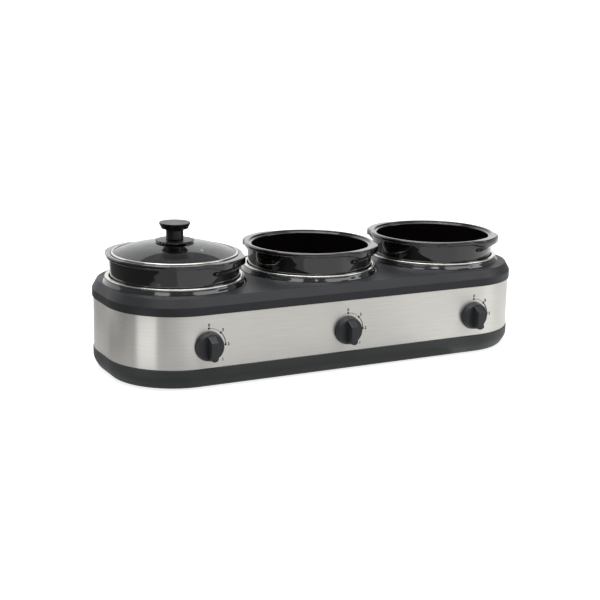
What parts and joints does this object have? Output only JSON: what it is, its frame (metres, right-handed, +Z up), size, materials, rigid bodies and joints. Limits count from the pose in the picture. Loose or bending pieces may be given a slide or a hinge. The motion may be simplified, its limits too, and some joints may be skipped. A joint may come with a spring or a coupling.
{
  "type": "electric buffet server",
  "caption": "Counter-top electric food warmer: stoneware crocks stand in heated wells in a long rounded steel housing, each with its own front dial, one crock under a glass lid.",
  "frame": {"origin": "centre of the bounding box's underside, on the surface that the four feet stand on", "axes": "+X along the row of crocks, to the right seen from the front; +Y from the dials to the back; +Z up"},
  "size_m": [0.6494, 0.27, 0.2118],
  "materials": {
    "cover": "satin charcoal",
    "base": "matt charcoal",
    "band": "horizontally brushed stainless steel",
    "polished_steel": "polished stainless steel",
    "collar": "glossy black enamel",
    "crock": "glazed stoneware, glossy black",
    "dial": "satin charcoal",
    "lid_glass": "clear tempered glass",
    "lid_knob": "black phenolic",
    "rubber": "black rubber",
    "nylon": "white nylon",
    "zinc_steel": "zinc plated steel",
    "shield": "plain sheet",
    "heater": "steel-sheathed mica band",
    "fibre": "ceramic fibre felt",
    "wire": "silicone insulated lead"
  },
  "bodies": {
    "housing": {"top_cover": "cover", "base_tray": "base", "steel_band": "band", "heat_shield": "shield", "cord_inlet_bush": "rubber", "foot_front_left": "rubber", "foot_rear_left": "rubber", "foot_front_right": "rubber", "foot_rear_right": "rubber", "terminal_block": "nylon", "switch_left": "nylon", "switch_centre": "nylon", "switch_right": "nylon", "case_screw_1": "zinc_steel", "case_screw_2": "zinc_steel", "case_screw_3": "zinc_steel", "case_screw_4": "zinc_steel", "case_screw_5": "zinc_steel", "case_screw_6": "zinc_steel", "case_screw_7": "zinc_steel", "case_screw_8": "zinc_steel", "switch_nut_left": "zinc_steel", "switch_nut_centre": "zinc_steel", "switch_nut_right": "zinc_steel", "well_left": "polished_steel", "well_centre": "polished_steel", "well_right": "polished_steel", "thermal_fuse_left": "polished_steel", "thermal_fuse_centre": "polished_steel", "thermal_fuse_right": "polished_steel", "collar_left": "collar", "collar_centre": "collar", "collar_right": "collar", "heater_left": "heater", "heater_centre": "heater", "heater_right": "heater", "insulation_pad_left": "fibre", "insulation_pad_centre": "fibre", "insulation_pad_right": "fibre", "switch_lead_left": "wire", "switch_lead_centre": "wire", "switch_lead_right": "wire", "heater_lead_left": "wire", "heater_lead_centre": "wire", "heater_lead_right": "wire"},
    "crock_left": {"crock_left": "crock"},
    "crock_centre": {"crock_centre": "crock"},
    "crock_right": {"crock_right": "crock"},
    "lid": {"lid_glass": "lid_glass", "lid_band": "polished_steel", "lid_knob_base": "lid_knob", "lid_knob": "lid_knob", "lid_washer": "polished_steel", "lid_screw": "zinc_steel"},
    "dial_left": {"dial_left": "dial", "shaft_left": "polished_steel"},
    "dial_centre": {"dial_centre": "dial", "shaft_centre": "polished_steel"},
    "dial_right": {"dial_right": "dial", "shaft_right": "polished_steel"}
  },
  "joints": [
    {"name": "crock_left_lift", "type": "slide", "parent": "housing", "child": "crock_left", "axis": [0, 0, 1], "range_m": [0, 0.12]},
    {"name": "crock_centre_lift", "type": "slide", "parent": "housing", "child": "crock_centre", "axis": [0, 0, 1], "range_m": [0, 0.12]},
    {"name": "crock_right_lift", "type": "slide", "parent": "housing", "child": "crock_right", "axis": [0, 0, 1], "range_m": [0, 0.12]},
    {"name": "lid_lift", "type": "slide", "parent": "crock_left", "child": "lid", "axis": [0, 0, 1], "range_m": [0, 0.06]},
    {"name": "dial_left_turn", "type": "hinge", "parent": "housing", "child": "dial_left", "pos_m": [-0.21491, -0.11296, 0.0615], "axis": [0, 1, 0], "range_deg": [0, 135]},
    {"name": "dial_centre_turn", "type": "hinge", "parent": "housing", "child": "dial_centre", "pos_m": [0, -0.11296, 0.0615], "axis": [0, 1, 0], "range_deg": [0, 135]},
    {"name": "dial_right_turn", "type": "hinge", "parent": "housing", "child": "dial_right", "pos_m": [0.21491, -0.11296, 0.0615], "axis": [0, 1, 0], "range_deg": [0, 135]}
  ]
}
